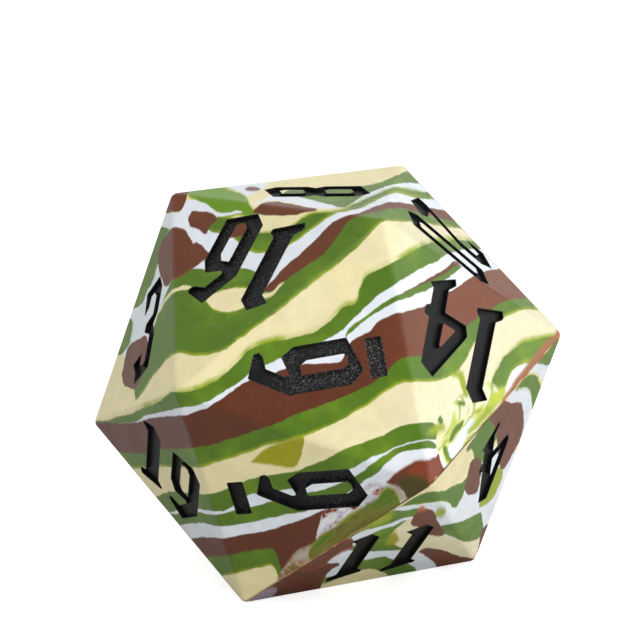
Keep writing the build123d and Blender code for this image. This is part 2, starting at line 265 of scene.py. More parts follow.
         [(-36, 23.65), (-20.5, 23.6), (-20, 24.2), (-19.5, 26), (-19, 28)]),
    lens(BROWN, [(-19.2, 22), (-18.9, 23.3), (-18.3, 23.6), (-17, 23.4), (-15.6, 23), (-15.1, 22.4),
                 (-14.9, 21.5)],
         [(-19.2, 22.5), (-18.8, 21.4), (-18, 21.1), (-17.4, 20.7), (-16.8, 20.2), (-16.2, 21),
          (-15.6, 21.7), (-14.9, 22.4)], rim=(RUST, 0.12)),
    lens(BROWN, [(-23.9, 16.5), (-23.4, 18.8), (-22.8, 19.9), (-22, 20.9), (-21, 21.2), (-20, 21),
                 (-19.2, 20.3), (-18.7, 19.3), (-18.4, 18.8), (-18, 19), (-17.4, 18.7),
                 (-16.5, 17.8), (-15.6, 16.9)],
         [(-23.9, 17.5), (-23.3, 15.2), (-22.7, 13.6), (-22, 13), (-21, 13.8), (-20, 14.3),
          (-19, 14.9), (-18, 15.6), (-17, 16.3), (-15.6, 17.3)], rim=(RUST, 0.12)),
    lens(BROWN, [(-13.2, 21.8), (-10.9, 21.8)], [(-13.2, 19.6), (-10.9, 19.7)]),
    lens(BROWN, [(-11.6, 26.6), (-10.5, 27.5), (-9.6, 27.3), (-9, 26.7)],
         [(-11.6, 27.1), (-10.6, 26.6), (-9.8, 26.6), (-9, 27.2)], soft=0.3),
    lens(BROWN, [(-10.2, 22.9), (-9, 24.2), (-8, 24.7), (-7, 24.8), (-5, 24.3), (-3, 23.8),
                 (-0.9, 23.1)],
         [(-10.2, 23.3), (-9, 22.8), (-7, 22.6), (-5, 22.5), (-3, 22.8), (-0.9, 23.4)]),
    # The left flank
    flank(GREEN, [(9.6, -40), (10, -27.5), (10.8, -26), (12, -25.4), (14, -24.4), (16, -23.7),
                  (18, -23.6), (19.5, -23), (21, -22), (21.6, -23), (22.4, -40)]),
    flank(GREEN, [(2.6, -40), (3.2, -30), (3.9, -28.8), (5, -27.9), (6.5, -27.6), (8, -27.4),
                  (8.6, -27.8), (9.1, -30), (9.5, -40)], soft=0.2),
    lens(CREAM, [(-36, 3.3), (-29.5, 3.4), (-28.5, 3), (-27.2, 0), (-26.2, -4.3)],
         [(-36, -6.1), (-31.5, -6), (-29.5, -5.35), (-27, -4.75), (-26.2, -4.2)], soft=0.2),
    lens(BROWN, [(-29, 0), (-28.6, 3), (-28, 4.6), (-27.2, 5.3), (-26.3, 5.7), (-25.3, 6.1),
                 (-24.8, 5), (-24.3, 2)],
         [(-29, 1), (-28.6, -0.8), (-28, -1.1), (-27, -1.4), (-26.3, -1), (-25.5, 0.5), (-24.3, 4)]),
    lens(CREAM, [(-24.4, 7), (-23, 9.8), (-22, 11.4), (-21, 12.3), (-20, 12.7), (-19, 12.85),
                 (-18.1, 12.4)],
         [(-24.4, 7.3), (-23, 9.3), (-22, 10.9), (-21, 11.8), (-20, 12.2), (-19, 12.35),
          (-18.1, 12.8)], soft=0.15),
    # Pockets inside the wide green and cream layers
    lens(CREAM, [(-16.4, 10.3), (-15.5, 11.4), (-14, 12), (-12, 12.4), (-10.5, 12.3), (-8.6, 11.6)],
         [(-16.4, 10.9), (-15.7, 10), (-15, 9.5), (-14, 9.2), (-13, 9.1), (-12, 9.3), (-11, 9.7),
          (-8.6, 12)], rim=(LIME, 0.25)),
    lens(CREAM, [(-9, 11.4), (-8, 11.6), (-7, 11.9), (-6, 12.9), (-5.3, 13.1)],
         [(-9, 11.2), (-8.2, 10.9), (-7.2, 11.2), (-6.2, 12.2), (-5.3, 13.7)], soft=0.2),
    lens(OLIVE, [(-10.4, -11.8), (-9.2, -10.5), (-8.2, -9.6), (-7, -8.9), (-6, -8.5), (-4, -7.95),
                 (-3, -7.6), (-2.6, -9)],
         [(-10.4, -11.2), (-8, -11.5), (-6, -11.8), (-5, -12), (-4, -11.8), (-3.4, -10.9),
          (-2.9, -9.2), (-2.6, -7.6)], soft=0.25),
]

# Pockets and streaks next to the parting line, where the two halves flowed together
SEAM_LAYERS = [
    lens(GREEN, [(22.6, -3.5), (23.2, -0.2), (23.8, 1.4), (24.6, 2.7), (25.9, 3.9), (27.2, 4.8),
                 (28.5, 5.3), (30, 5.6), (34, 6.2)],
         [(22.6, -2), (24.4, -2.6), (25.2, -0.8), (25.6, 0.4), (26.3, 1.3), (27.2, 1.9),
          (28.2, 2.2), (29.2, 3), (30.5, 4), (34, 6.6)], soft=0.2, rim=(LIME, 0.5)),
    lens(WHITE, [(24.4, -2.8), (25.2, -0.8), (25.6, 0.4), (26.3, 1.3), (27.2, 1.9), (28.2, 2.2),
                 (29.4, 2.2)],
         [(24.4, -2.4), (26.3, -0.9), (27.5, 0.5), (28.5, 1.6), (29.4, 2.6)], soft=0.2,
         rim=(LIME, 0.55)),
    lens(BRIGHT_LIME, [(22.8, -3), (23.4, -1.8), (24.2, -1.3), (25, -1.2)],
         [(22.8, -3.2), (24, -2.8), (25, -1.6)], soft=0.7),
    lens(SPECKLED, [(-1.4, -22.4), (-1, -20.8), (-0.6, -19), (-0.2, -18), (0.4, -17.5), (2, -17.2),
                    (3.4, -15.8), (5, -14.6), (6.5, -14), (7.6, -14.2), (8.6, -15)],
         [(-1.4, -22), (0, -21.3), (2, -19.9), (4, -18.5), (6, -17.3), (7.6, -15.9), (8.6, -14.6)],
         soft=0.35),
    lens(SWIRLS, [(14.9, -8.9), (15.1, -7), (15.8, -5.4), (17, -4.2), (18, -2.6), (19.2, -1.8),
                  (20.6, -1.6), (22, -0.6), (23.2, -0.8), (24.3, -2), (25, -3.2)],
         [(14.9, -9.1), (15.6, -10.4), (16.4, -11.6), (17.4, -12.6), (25, -4.2)], soft=0.5),
    lens(LIME, [(13.6, -7.2), (14.6, -6.4), (15.6, -5.9), (16.4, -6.4)],
         [(13.6, -7.2), (14.8, -7.4), (15.6, -7.2), (16.4, -6.6)], soft=0.7),
    lens(GREEN, [(15.2, -5.6), (15.5, -4.9), (16, -5.6)],
         [(15.2, -5.4), (15.8, -6.2), (16, -6)], soft=0.3),
    lens(GREEN, [(16.7, -8.4), (17.2, -7.1), (18, -6.2), (18.9, -5.6)],
         [(16.7, -8.6), (17.6, -7.7), (18.9, -5.9)], soft=0.25, rim=(PALE_LIME, 0.35)),
    lens(GREEN, [(18, -3.4), (18.3, -2.9), (19.2, -3.3)],
         [(18, -3.2), (18.5, -3.7), (19.2, -3.4)], soft=0.3),
    lens(GREEN, [(15.9, -9), (16.5, -9.3), (17.1, -10.3), (17.5, -11)],
         [(15.9, -9.2), (16.1, -10.2), (16.9, -11.2), (17.5, -11.2)], soft=0.3,
         rim=(BRIGHT_LIME, 0.4)),
    lens(WHITE, [(16.6, -9.4), (17.6, -8.2), (19, -6.4), (20.2, -5.4)],
         [(16.6, -9.6), (17.4, -10.8), (18.6, -9.2), (20.2, -5.6)], soft=0.4),
    lens(LIME, [(19.2, -7.4), (20.4, -5.9), (21.6, -4.8), (22.4, -3.2), (23, -2.2), (23.8, -1.9)],
         [(19.2, -7.6), (21, -6.3), (22.4, -5.2), (23.2, -4), (23.8, -2.5)], soft=0.6),
    lens(BRIGHT_LIME, [(22.4, -3.6), (23, -2.2), (24, -1.6), (25, -1.4)],
         [(22.4, -3.8), (23.8, -3.4), (25, -1.8)], soft=0.5),
    lens(LIME, [(17.2, 0.3), (18.2, 1.1), (18.9, 0.9), (19.4, -1.4)],
         [(17.2, 0.3), (18.1, 0.2), (18.7, -1.4), (19.4, -2.6)], soft=0.45),
    lens(BROWN, [(8.1, -14.2), (8.8, -13.4), (9.5, -12.7), (11, -11.7), (12.5, -11.1), (14, -10.9),
                 (15, -10.6), (15.2, -10.1), (15.5, -11.2), (15.9, -12), (16.6, -12.6)],
         [(8.1, -13.6), (8.6, -14), (9.2, -14.3), (10.5, -15), (11.5, -16.5), (16.6, -15)],
         rim=(RUST, 0.2)),
    lens(RED_BROWN, [(11, -12.4), (12.2, -11.2), (14, -11), (15, -10.8), (15.6, -11.6), (16.4, -12.8)],
         [(11, -12.6), (12.4, -13), (13.6, -14), (16.4, -14)], soft=0.9),
    lens(DARK_OLIVE, [(9.4, -14.2), (10.5, -13.2), (12, -12.8), (13.4, -13.2), (14, -14.4)],
         [(9.4, -14.4), (10.3, -15), (11.5, -16.5), (14, -15.4)], soft=0.6),
    lens(CREAM, [(13.9, -14.6), (14.6, -13.7), (15.4, -12.9), (16.4, -12.5)],
         [(13.9, -14.6), (16.4, -14.5)], soft=0.15, rim=(RUST, 0.15)),
    lens(MUDDY, [(-6.6, -27.6), (-5.6, -26), (-4.8, -24.7), (-4, -23.9), (-2.8, -23.2), (-1.8, -23)],
         [(-6.6, -28.4), (-5.4, -28), (-1.8, -25.6)], soft=0.4),
    lens(DUSTY, [(-4.6, -24.7), (-3.8, -23.9), (-2.8, -23.4), (-1.6, -22.9)],
         [(-4.6, -24.9), (-3.4, -25), (-2.4, -24.7), (-1.6, -24)], soft=0.6),
    lens(DUSTY, [(7.8, -14.6), (8.8, -14.3), (9.8, -14.5), (10.5, -15.4), (11.2, -16.2)],
         [(7.8, -16), (11.2, -16.6)], soft=0.5),
    lens(SMEAR, [(-2.3, -23.9), (-1.7, -22.9), (-1, -22.1), (0, -21.2), (2, -19.7), (4, -18.2),
                 (6, -16.9), (7.1, -16.3), (7.8, -15.2), (8.6, -14.7), (9.2, -14.9), (9.7, -15.8),
                 (10.2, -17)],
         [(-2.3, -24.1), (-1.7, -25.2), (10.2, -18)], soft=0.4, rim=(LIME, 0.35)),
    lens(GREEN, [(5.4, -17.2), (6.4, -16.6), (7.2, -16), (7.9, -15.2), (8.6, -14.8), (9.1, -15.6)],
         [(5.4, -17.4), (7, -17), (8.4, -16.2), (9.1, -15.8)], soft=0.5),
    lens(COPPER, [(24, -3.8), (25.5, -1.5), (26.5, -0.1), (27.5, 1.1), (28.5, 2.4), (29.5, 3.5),
                  (30.5, 4.6), (31.5, 5.6), (32.5, 6.4), (34, 7.8)],
         [(24, -5), (34, 5.7)], soft=0.45),
]

LOWER_LAYERS = [
    layer(GREEN, [(9, -17.9), (10.5, -17), (12, -16), (14, -15.2), (16, -15.2), (17.5, -14.6),
                  (19, -14.2), (20, -13)]),
    layer(WHITE, [(9, -18.2), (10, -17.4), (11.5, -17.1), (12.5, -17), (14, -16.8), (15.5, -16.7),
                  (17, -17), (18, -17.9), (18.6, -17), (19.2, -16), (19.8, -14), (22, -10)],
          rim=(LIME, 0.15)),
    layer(GREEN, [(3, -21.2), (5, -20.2), (7, -18.9), (9, -17.9), (11, -17.8), (12.6, -17.6),
                  (13.5, -18.4), (14, -20), (15, -24)]),
    layer(WHITE, [(1, -23.6), (3, -22.2), (5, -20.8), (7, -20.3), (8.5, -19.9), (10, -19.3),
                  (11, -18.9), (12, -18.8), (13, -20)]),
    layer(GREEN, [(3, -24), (5, -22.2), (7, -20.9), (8.5, -20.4), (9.5, -20.1), (11, -19.4),
                  (13, -21), (15, -25)]),
    layer(CREAM, [(8, -30), (8.6, -23), (9.2, -21.4), (10, -20.4), (11, -19.6), (12, -19),
                  (13, -19.2), (15, -21), (17, -22), (19, -22.7), (21, -23), (24, -23)]),
    layer(GREEN, [(3, -24), (5, -22.2), (8.6, -21.8), (9.3, -22.6), (10.2, -23.4), (11.5, -23.9),
                  (13, -25.6), (14, -27)]),
    layer(WHITE, [(-1, -25), (1, -24.5), (3, -23.6), (5, -24), (7, -24.2), (8, -24.3), (9, -24.6),
                  (10.5, -24.2), (12, -24), (13.5, -24.6), (14.5, -30)]),
    layer(BROWN, [(12, -30), (12.6, -25), (13.4, -24.4), (14.2, -23.9), (15.5, -24), (17, -24.4),
                  (18.5, -25.1), (20, -25.7), (22, -26)]),
    layer(WHITE, [(12, -24), (13.3, -24.5), (14.2, -25.1), (15, -25.8), (15.8, -26.6), (17, -30)]),
    layer(GREEN, [(3, -28), (5, -25.5), (7, -25.1), (8.3, -24.9), (9.5, -25.5), (10.5, -25.8),
                  (12, -26.4), (13, -27.2), (14, -30)]),
    layer(CREAM, [(0, -28.9), (2, -28.1), (4, -27.4), (5.5, -26.9), (7, -27), (8.5, -27.6),
                  (10, -30)]),
    # Left end of the underside
    lens(DARK_BROWN, [(-10.6, -31.2), (-9, -29.4), (-7.2, -28.2), (-5, -26.8), (-3, -25.6), (-1, -25.6),
                      (0.5, -25.6), (2, -25.7)],
         [(-10.6, -31.6), (-1.2, -31), (-0.4, -28.8), (0.3, -27.4), (1.2, -26.4), (2, -25.9)]),
    lens(BROWN, [(-3.2, -25.7), (-2, -24.7), (-1, -24.1), (0.5, -23.3), (2.1, -22.5), (3.8, -22.1)],
         [(-3.2, -26.7), (-1, -26), (0, -25.6), (1, -24.6), (2.1, -23.8), (3.8, -22.9)],
         rim=(RUST, 0.3)),
    # A milky white tip darkened to lilac: painted shade under the die
    lens(MILKY_IN_PAINTED_SHADE, [(-10.4, -31), (-9.4, -30.2), (-8.4, -29.5), (-7.4, -29.2), (-6.7, -29.3)],
         [(-10.4, -31.4), (-8, -31.4), (-7.2, -30.4), (-6.7, -29.7)], soft=0.35),
    lens(LIME, [(4.4, -20.6), (6, -19.2), (8, -18.2), (9.2, -18.2)],
         [(4.4, -20.8), (6, -20.3), (8, -19.7), (9.2, -18.6)], soft=0.6),
    lens(OLIVE, [(8.4, -23), (9, -21.4), (9.6, -21), (10.2, -22)],
         [(8.4, -23.2), (9.4, -23.2), (10.2, -22.6)], soft=0.6),
    lens(LIME, [(15, -18.8), (15.8, -17.6), (16.7, -18)],
         [(15, -19), (15.9, -19.1), (16.7, -18.3)], soft=0.6),
    # The flank below the high right corner
    lens(GREEN, [(19.2, -9.9), (20.2, -8.2), (21, -7), (21.7, -6), (22.8, -5), (24, -6.1), (25, -8)],
         [(19.2, -10), (20, -9.6), (20.5, -10.6), (21, -11.6), (22, -11.6), (23, -10), (25, -6)],
         soft=0.2),
    lens(BROWN, [(19.3, -15.5), (19.7, -13), (20.2, -11.2), (21, -10.9), (21.8, -11.5),
                 (22.1, -13), (22.2, -16)],
         [(19.3, -15), (19.6, -15.8), (20.3, -16.2), (21.1, -16.1), (21.7, -15.4), (22.2, -12)]),
    lens(WHITE, [(21.6, -15), (22.1, -12), (22.6, -10.5), (23.2, -10), (24, -9.5), (26.5, -11)],
         [(21.6, -18), (22, -18), (24, -14), (26.5, -12)]),
    lens(WHITE, [(20, -18), (22, -16.5), (24, -15), (26, -12.5), (28, -8.5), (28.6, -6),
                 (28.2, -4), (34, 6)],
         [(20, -21.8), (36, -21.8)]),
    lens(LIME, [(21.9, -17.9), (23, -15.2), (24, -13.6), (25, -12.4), (25.5, -13.4)],
         [(21.9, -18.2), (23, -17.9), (24.2, -16.8), (25.1, -15), (25.5, -13)], soft=0.25),
    lens(WHITE, [(25.4, -2.6), (26.4, -1.2), (28, -0.8), (29.4, -1)],
         [(25.4, -3.4), (27.4, -3.8), (28, -5), (28.6, -8), (29.4, -9)], soft=0.2),
    lens(BROWN, [(22.6, -5.2), (23.6, -4), (24.8, -3), (25.4, -3.3), (26.5, -3.4), (27.4, -3.4),
                 (27.9, -4), (28.3, -5.6), (28.45, -7.6)],
         [(22.6, -5.4), (23.4, -6.4), (23.9, -7.4), (24.1, -9), (24.4, -10.6), (25.3, -12.8),
          (26.1, -12), (27, -10.4), (27.9, -8.7), (28.45, -6.6)], rim=(RUST, 0.12)),
    lens(GREEN, [(26.2, -2.6), (27, -0.9), (28, 0.2), (29, 0.6), (29.8, 0.4), (30.5, -0.8),
                 (31.5, -2)],
         [(26.2, -1.4), (27.6, -1.2), (28.6, -1.3), (29.2, -2), (29.7, -4.4), (31.5, -6)],
         rim=(LIME, 0.35)),
    lens(WHITE, [(28, 1), (36, 8)], [(28, 0.9), (29.6, 1), (30.6, 0.2), (31.5, -1)]),
    lens(GREEN, [(29.5, 2), (31, 3.8), (33.6, 6.4)],
         [(29.5, 2.2), (30.5, 2.1), (31.5, 1.9), (33.6, 1.9)], soft=0.2),
    lens(GREEN, [(15.7, -20.8), (17.5, -20.2), (19.5, -19.9), (21, -19.4), (22.2, -19),
                 (22.6, -20.5)],
         [(15.7, -20.7), (17, -21.8), (18.5, -22.5), (20.3, -23.2), (21.8, -23.1),
          (22.6, -22.4)]),
    lens(BROWN, [(11.8, -20), (12.6, -18.2), (13.6, -17.8), (14.8, -18.2), (15.4, -19.4),
                 (16.4, -21), (17, -22.5)],
         [(11.8, -19.8), (13, -20.6), (14.5, -21.6), (16, -22), (17, -21.5)], rim=(RUST, 0.15)),
    lens(ORANGE, [(12.6, -18), (13.2, -17.3), (13.8, -17.8)],
         [(12.6, -18.2), (13.2, -18), (13.8, -18)], soft=0.4),
    lens(BROWN, [(22.2, -24), (22.4, -22), (23.8, -20.8), (26, -20)],
         [(22.2, -26), (22.3, -26.5), (26, -26)]),
]

# ---------------------------------------------------------------- node helpers
SPAN = 80.0                    # the layers' curves run from -40 to 40 mm
MIX_FIRST, MIX_SECOND, MIX_RESULT = 6, 7, 2    # the Mix node's sockets for colours


def share(position):
    """A position in mm as its share of the span, 0 to 1, which is how the curves take it."""
    return position / SPAN + 0.5


class Graph:
    """Adds nodes to a node tree. Inputs are given as sockets or as plain values."""

    def __init__(self, tree):
        self.tree = tree

    def add(self, kind, inputs=(), **settings):
        node = self.tree.nodes.new("ShaderNode" + kind)
        for name, value in settings.items():
            setattr(node, name, value)
        for name, value in dict(inputs).items():
            self.plug(node.inputs[name], value)
        return node

    def plug(self, socket, value):
        if isinstance(value, bpy.types.NodeSocket):
            self.tree.links.new(value, socket)
        else:
            socket.default_value = value

    def math(self, operation, first, second=0.0, clamp=False):
        node = self.add("Math", {0: first, 1: second}, operation=operation, use_clamp=clamp)
        return node.outputs[0]

    def vector(self, operation, first, second):
        node = self.add("VectorMath", {0: first, 1: second}, operation=operation)
        return node.outputs["Value" if operation == "DOT_PRODUCT" else "Vector"]

    def scale(self, vector, factor):
        node = self.add("VectorMath", {0: vector, "Scale": factor}, operation="SCALE")
        return node.outputs["Vector"]

    def ramp(self, value, low, high, to_low=0.0, to_high=1.0, smooth=True):
        """A value between low and high, brought to the range to_low to to_high."""
        node = self.add("MapRange", {"Value": value, "From Min": low, "From Max": high,
                                     "To Min": to_low, "To Max": to_high},
                        interpolation_type="SMOOTHSTEP" if smooth else "LINEAR")
        return node.outputs["Result"]

    def mix(self, factor, first, second, blend="MIX"):
        node = self.add("Mix", data_type="RGBA", blend_type=blend)
        self.plug(node.inputs["Factor"], factor)
        self.plug(node.inputs[MIX_FIRST], first)
        self.plug(node.inputs[MIX_SECOND], second)
        return node.outputs[MIX_RESULT]

    def noise(self, vector, scale, detail=2.0, roughness=0.5, distortion=0.0):
        """Noise of about scale patches per unit of the vector. Its outputs are Fac and Color."""
        return self.add("TexNoise", {"Vector": vector, "Scale": scale, "Detail": detail,
                                     "Roughness": roughness, "Distortion": distortion})

    def curve(self, value, points):
        """Height of a given edge. The value and the height are shares of the span."""
        node = self.add("FloatCurve", {"Value": value})
        line = node.mapping.curves[0]
        placed = [(share(x), share(y)) for x, y in points]
        while len(line.points) < len(placed):
            line.points.new(0.5, 0.5)
        for knot, spot in zip(line.points, placed):
            knot.location = spot
            knot.handle_type = "AUTO_CLAMPED"
        node.mapping.extend = "HORIZONTAL"
        node.mapping.update()
        return node.outputs[0]


def new_group(name, inputs, outputs):
    """A node group. Returns its graph, the sockets that it reads and those that it fills."""
    tree = bpy.data.node_groups.new(name, "ShaderNodeTree")
    for socket_name, kind in inputs:
        tree.interface.new_socket(socket_name, in_out="INPUT", socket_type="NodeSocket" + kind)
    for socket_name, kind in outputs:
        tree.interface.new_socket(socket_name, in_out="OUTPUT", socket_type="NodeSocket" + kind)
    source = tree.nodes.new("NodeGroupInput")
    sink = tree.nodes.new("NodeGroupOutput")
    return Graph(tree), source.outputs, sink.inputs


# ---------------------------------------------------------------- marbled rubber
# Depths are in mm towards the viewer from the centre, so negative ones lie behind it.
RIM_FADE = 0.8                 # a rim fades over this share of its width
FINE_WOBBLE = 0.45             # mm from side to side, everywhere
WIDE_WOBBLE = 42               # mm from side to side, which grows between these two depths
WOBBLE_START = -9
WOBBLE_FULL = -32
HIDDEN_START = -10.8           # the depths at which the lower half's hidden pattern takes over
HIDDEN_FULL = -11.2
HIDDEN_RAGGED = 4              # mm that this boundary wanders to either side
TIP = -13                      # mm across: the hidden pattern also covers all that is left of this
TIP_FADE = 0.3
TURN_ACROSS = -2.4             # mm: the axis on which the hidden pattern is turned half round
TURN_UP = -1.6
SILICONE_IOR = 1.43
TAN_TO_DARK = (2, 7)           # mm across from the origin, where the parting film changes colour
DARK_TO_COPPER = (20, 26)


def layer_masks(graph, spec, across, up):
    """How far a point lies inside a layer, 0 to 1, and the same for the layer with its rim."""
    along, height = (up, across) if spec.get("steep") else (across, up)
    soft = spec["soft"] / SPAN
    below_top = graph.math("SUBTRACT", graph.curve(along, spec["top"]), height)
    above_bottom = None
    if "bottom" in spec:
        above_bottom = graph.math("SUBTRACT", height, graph.curve(along, spec["bottom"]))

    def inside(margin, blur):
        mask = graph.ramp(below_top, -blur - margin, blur - margin)
        if above_bottom is None:
            return mask
        above = graph.ramp(above_bottom, -blur - margin, blur - margin)
        return graph.math("MULTIPLY", mask, above)

    rim_mask = None
    if spec["rim"]:
        width = spec["rim"][1] / SPAN
        rim_mask = inside(width, max(soft, width * RIM_FADE))
    return inside(0.0, soft), rim_mask


def streaked(graph, spot, recipe):
    """Half-mixed rubber: a few colours drawn out by a twisting noise."""
    turned = graph.add("VectorRotate", {"Vector": spot, "Angle": -math.radians(recipe["slope"])},
                       rotation_type="Z_AXIS")
    stretched = graph.vector("MULTIPLY", turned.outputs[0], recipe["fineness"])
    swirl = graph.noise(stretched, scale=1, detail=3, roughness=0.55, distortion=recipe["twist"])
    ramp = graph.add("ValToRGB", {"Fac": swirl.outputs[0]})
    stops = ramp.color_ramp.elements
    while len(stops) < len(recipe["colours"]):
        stops.new(0.5)
    for stop, (position, colour) in zip(stops, recipe["colours"]):
        stop.position = position
        stop.color = colour
    return ramp.outputs[0]


def layers_group(name, layers):
    """A group that lays a stack of layers over a base colour, at a place across and up."""
    sockets = [("Base", "Color"), ("Across", "Float"), ("Up", "Float"), ("Flat", "Vector")]
    graph, source, sink = new_group(name, sockets, [("Color", "Color")])
    patches = graph.noise(source["Flat"], scale=0.22, detail=2).outputs[0]
    rim_strength = graph.ramp(patches, 0.36, 0.6, to_low=0.25)
    cloud = graph.noise(source["Flat"], scale=0.12, detail=4, roughness=0.6).outputs[0]
    drift = graph.ramp(cloud, 0.46, 0.7, to_high=0.8)
    drifting = {first: graph.mix(drift, first, second) for first, second in DRIFTS.items()}
    # Dark brown grows a little lighter, and cream a little paler, towards the right: partly painted
    # sheen and painted light of the brighter right-hand faces
    rightward_painted_sheen = graph.ramp(source["Across"], share(3.2), share(16))
    drifting[DARK_BROWN] = graph.mix(rightward_painted_sheen, DARK_BROWN, BROWN_WITH_PAINTED_SHEEN)
    drifting[CREAM] = graph.mix(rightward_painted_sheen, drifting[CREAM], CREAM_WITH_PAINTED_SHEEN)
    colour = source["Base"]
    for spec in layers:
        mask, rim_mask = layer_masks(graph, spec, source["Across"], source["Up"])
        if rim_mask:
            rim_mask = graph.math("MULTIPLY", rim_mask, rim_strength)
            colour = graph.mix(rim_mask, colour, spec["rim"][0])
        paint = spec["colour"]
        if isinstance(paint, dict):
            paint = streaked(graph, source["Flat"], paint)
        else:
            paint = drifting.get(paint, paint)
        colour = graph.mix(mask, colour, paint)
    graph.plug(sink["Color"], colour)
    return graph.tree


def place_group():
    """A group that gives a point's place on the marbling's axes, with the wobble of real flow.
    Across and Up are shares of the span. Towards, Flat and Millimetres are in mm."""
    graph, source, sink = new_group(
        "marbling_place", [("Vector", "Vector")],
        [("Across", "Float"), ("Up", "Float"), ("Towards", "Float"), ("Flat", "Vector"),
         ("Millimetres", "Vector")])
    from_centre = graph.vector("SUBTRACT", source["Vector"], CENTRE)
    place = graph.scale(from_centre, 1 / MM)
    graph.plug(sink["Millimetres"], place)
    towards = graph.vector("DOT_PRODUCT", place, TOWARDS)
    graph.plug(sink["Towards"], towards)

    def wobble(amount, scale, detail):
        """A shift by up to half the amount, along each axis."""
        shift = graph.noise(place, scale, detail).outputs["Color"]
        return graph.scale(graph.vector("SUBTRACT", shift, (0.5, 0.5, 0.5)), amount)

    far_side = graph.ramp(towards, WOBBLE_START, WOBBLE_FULL)
    wide_wobble = graph.scale(wobble(WIDE_WOBBLE, scale=0.045, detail=1), far_side)
    moved = graph.vector("ADD", place, wobble(FINE_WOBBLE, scale=0.7, detail=2))
    moved = graph.vector("ADD", moved, wide_wobble)
    flat = graph.add("CombineXYZ", {"Z": towards})
    for name, axis, slot in (("Across", ACROSS, "X"), ("Up", UP, "Y")):
        along = graph.vector("DOT_PRODUCT", moved, axis)
        graph.plug(flat.inputs[slot], along)
        graph.plug(sink[name], graph.ramp(along, -SPAN / 2, SPAN / 2, smooth=False))
    graph.plug(sink["Flat"], flat.outputs[0])
    return graph.tree


PLACE = place_group()
UPPER = layers_group("upper_marbling", UPPER_LAYERS)
SEAM = layers_group("seam_marbling", SEAM_LAYERS)
LOWER = layers_group("lower_marbling", LOWER_LAYERS)


def new_material(name):
    """An empty material with a Principled shader. Returns it, its graph and the shader."""
    material = bpy.data.materials.new(name)
    material.use_nodes = True
    tree = material.node_tree
    tree.nodes.clear()
    graph = Graph(tree)
    shader = graph.add("BsdfPrincipled")
    output = graph.add("OutputMaterial")
    tree.links.new(shader.outputs[0], output.inputs["Surface"])
    return material, graph, shader


def use_group(graph, group, inputs):
    """Puts a node group to use. Returns its outputs."""
    node = graph.tree.nodes.new("ShaderNodeGroup")
    node.node_tree = group
    for name, value in inputs.items():
        graph.plug(node.inputs[name], value)
    return node.outputs


def object_millimetres(graph):
    """A point's place in the object's own frame, in mm from its origin."""
    return graph.scale(graph.add("TexCoord").outputs["Object"], 1 / MM)


def marbled_rubber(name, lower):
    """Satin silicone rubber. The lower half was pressed from its own marbled charge."""
    material, graph, shader = new_material(name)
    where = graph.add("TexCoord").outputs["Object"]
    place = use_group(graph, PLACE, {"Vector": where})
    across, up, spot = place["Across"], place["Up"], place["Millimetres"]

    def marbled(group, base, sideways, height):
        inputs = {"Base": base, "Across": sideways, "Up": height, "Flat": place["Flat"]}
        return use_group(graph, group, inputs)["Color"]

    if lower:
        front = marbled(LOWER, CREAM, across, up)
        turned_across = graph.math("SUBTRACT", 2 * share(TURN_ACROSS), across)
        turned_up = graph.math("SUBTRACT", 2 * share(TURN_UP), up)
        hidden = marbled(UPPER, CREAM, turned_across, turned_up)
        ragged = graph.noise(spot, scale=0.22, detail=2).outputs[0]
        shift = graph.ramp(ragged, 0.3, 0.7, -HIDDEN_RAGGED, HIDDEN_RAGGED, smooth=False)
        near = graph.ramp(graph.math("ADD", place["Towards"], shift), HIDDEN_FULL, HIDDEN_START)
        right_of_tip = graph.ramp(across, share(TIP), share(TIP + TIP_FADE))
        colour = graph.mix(graph.math("MULTIPLY", near, right_of_tip), hidden, front)
    else:
        colour = marbled(SEAM, marbled(UPPER, CREAM, across, up), across, up)
    cloud = graph.noise(spot, scale=0.35, detail=4, roughness=0.6).outputs[0]
    tone = graph.ramp(cloud, 0.3, 0.7, 0.95, 1.05)
    shaded = graph.add("HueSaturation", {"Color": colour, "Value": tone})
    graph.plug(shader.inputs["Base Color"], shaded.outputs[0])
    grain = graph.noise(spot, scale=2.6, detail=3, roughness=0.6).outputs[0]
    graph.plug(shader.inputs["Roughness"], graph.ramp(cloud, 0.25, 0.75, 0.32, 0.42))
    rise = graph.add("Bump", {"Height": grain, "Strength": 0.1, "Distance": 0.06 * MM})
    swell = graph.add("Bump", {"Height": cloud, "Strength": 0.25, "Distance": 0.3 * MM,
                               "Normal": rise.outputs[0]})
    graph.plug(shader.inputs["Normal"], swell.outputs[0])
    shader.inputs["IOR"].default_value = SILICONE_IOR
    return material


def numeral_paint(name, glint_grey):
    """Black paint in a sunk numeral, rough with grit. Its specks, of the colour given, are painted
    glints off that grit.
    """
    material, graph, shader = new_material(name)
    where = object_millimetres(graph)
    grit = graph.noise(where, scale=4.6, detail=2, roughness=0.6).outputs[0]
    patch = graph.noise(where, scale=0.12, detail=2).outputs[0]
    # The specks are painted glints
    glint_speck = graph.math("MULTIPLY", graph.ramp(grit, 0.5, 0.66), graph.ramp(patch, 0.3, 0.55))
    colour = graph.mix(glint_speck, srgb(10, 11, 11), glint_grey)
    graph.plug(shader.inputs["Base Color"], colour)
    graph.plug(shader.inputs["Roughness"], graph.ramp(grit, 0.3, 0.7, 0.36, 0.6))
    shader.inputs["Specular IOR Level"].default_value = 0.25
    rough = graph.add("Bump", {"Height": grit, "Strength": 0.7, "Distance": 0.12 * MM})
    graph.plug(shader.inputs["Normal"], rough.outputs[0])
    return material


